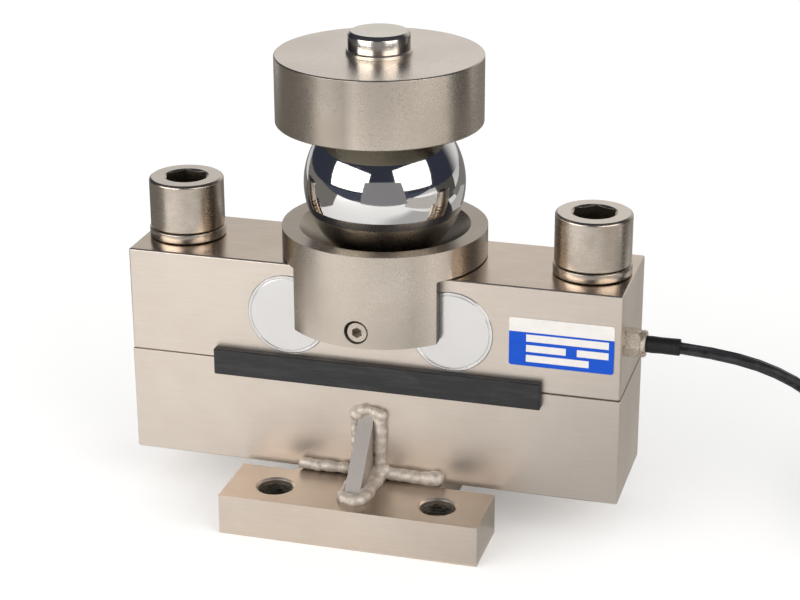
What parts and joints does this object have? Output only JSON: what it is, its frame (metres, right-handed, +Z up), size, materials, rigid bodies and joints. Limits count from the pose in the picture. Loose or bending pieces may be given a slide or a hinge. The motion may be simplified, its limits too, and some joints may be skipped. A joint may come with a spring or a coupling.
{
  "type": "weighing load cell",
  "caption": "Double-ended shear-beam load cell on a welded base block and tapped foot plate, loaded through a ball between a cup and a pinned cap, with a cable at one end.",
  "frame": {"origin": "centre of the foot plate's underside, on the axis of the cup", "axes": "+X along the beam towards the cable gland, +Y away from the rating plate, +Z up"},
  "size_m": [0.4855, 0.1655, 0.232],
  "materials": {
    "plated_body": "satin nickel plating, faint lengthwise grain",
    "turned_seat": "turned and nickel plated, semi-gloss",
    "weld_metal": "bright uneven weld, plated over",
    "bolt_steel": "bright plated screw steel",
    "ball_steel": "polished bearing steel, mirror bright",
    "cover_sheet": "smooth pale plated sheet",
    "strip_black": "matt black strip",
    "label_face": "white rating plate with blue frame",
    "gland_nickel": "nickel-plated brass",
    "seal_rubber": "black rubber bush",
    "sleeve_black": "black shrink sleeve",
    "cable_jacket": "black cable sheath",
    "core_copper": "tinned copper cores",
    "tie_plastic": "black nylon",
    "gauge_foil": "foil gauge on film",
    "board_resin": "glass-fibre board"
  },
  "bodies": {
    "root": {"load_beam": "plated_body", "base_block": "plated_body", "base_plate": "plated_body", "rib_front": "plated_body", "rib_rear": "plated_body", "weld_front": "weld_metal", "weld_rear": "weld_metal", "mounting_bolts": "bolt_steel", "spring_washers": "bolt_steel", "ball_cup": "turned_seat", "steel_ball": "ball_steel", "load_cap": "turned_seat", "cap_pin": "bolt_steel", "set_screws": "bolt_steel", "marker_strip": "strip_black", "rating_plate": "label_face", "gland_body": "gland_nickel", "gland_collar": "gland_nickel", "gland_seal": "seal_rubber", "cable_sleeve": "sleeve_black", "cable_run": "cable_jacket", "cable_coil": "cable_jacket", "cable_tail": "cable_jacket", "core_leads": "core_copper", "coil_ties": "tie_plastic", "link_wire": "core_copper", "web_wire_left": "core_copper", "web_wire_right": "core_copper", "core_run": "core_copper", "cover_front_left": "cover_sheet", "gauge_front_left": "gauge_foil", "board_front_left": "board_resin", "cover_front_right": "cover_sheet", "gauge_front_right": "gauge_foil", "board_front_right": "board_resin", "cover_rear_left": "cover_sheet", "gauge_rear_left": "gauge_foil", "board_rear_left": "board_resin", "cover_rear_right": "cover_sheet", "gauge_rear_right": "gauge_foil", "board_rear_right": "board_resin"}
  },
  "joints": []
}
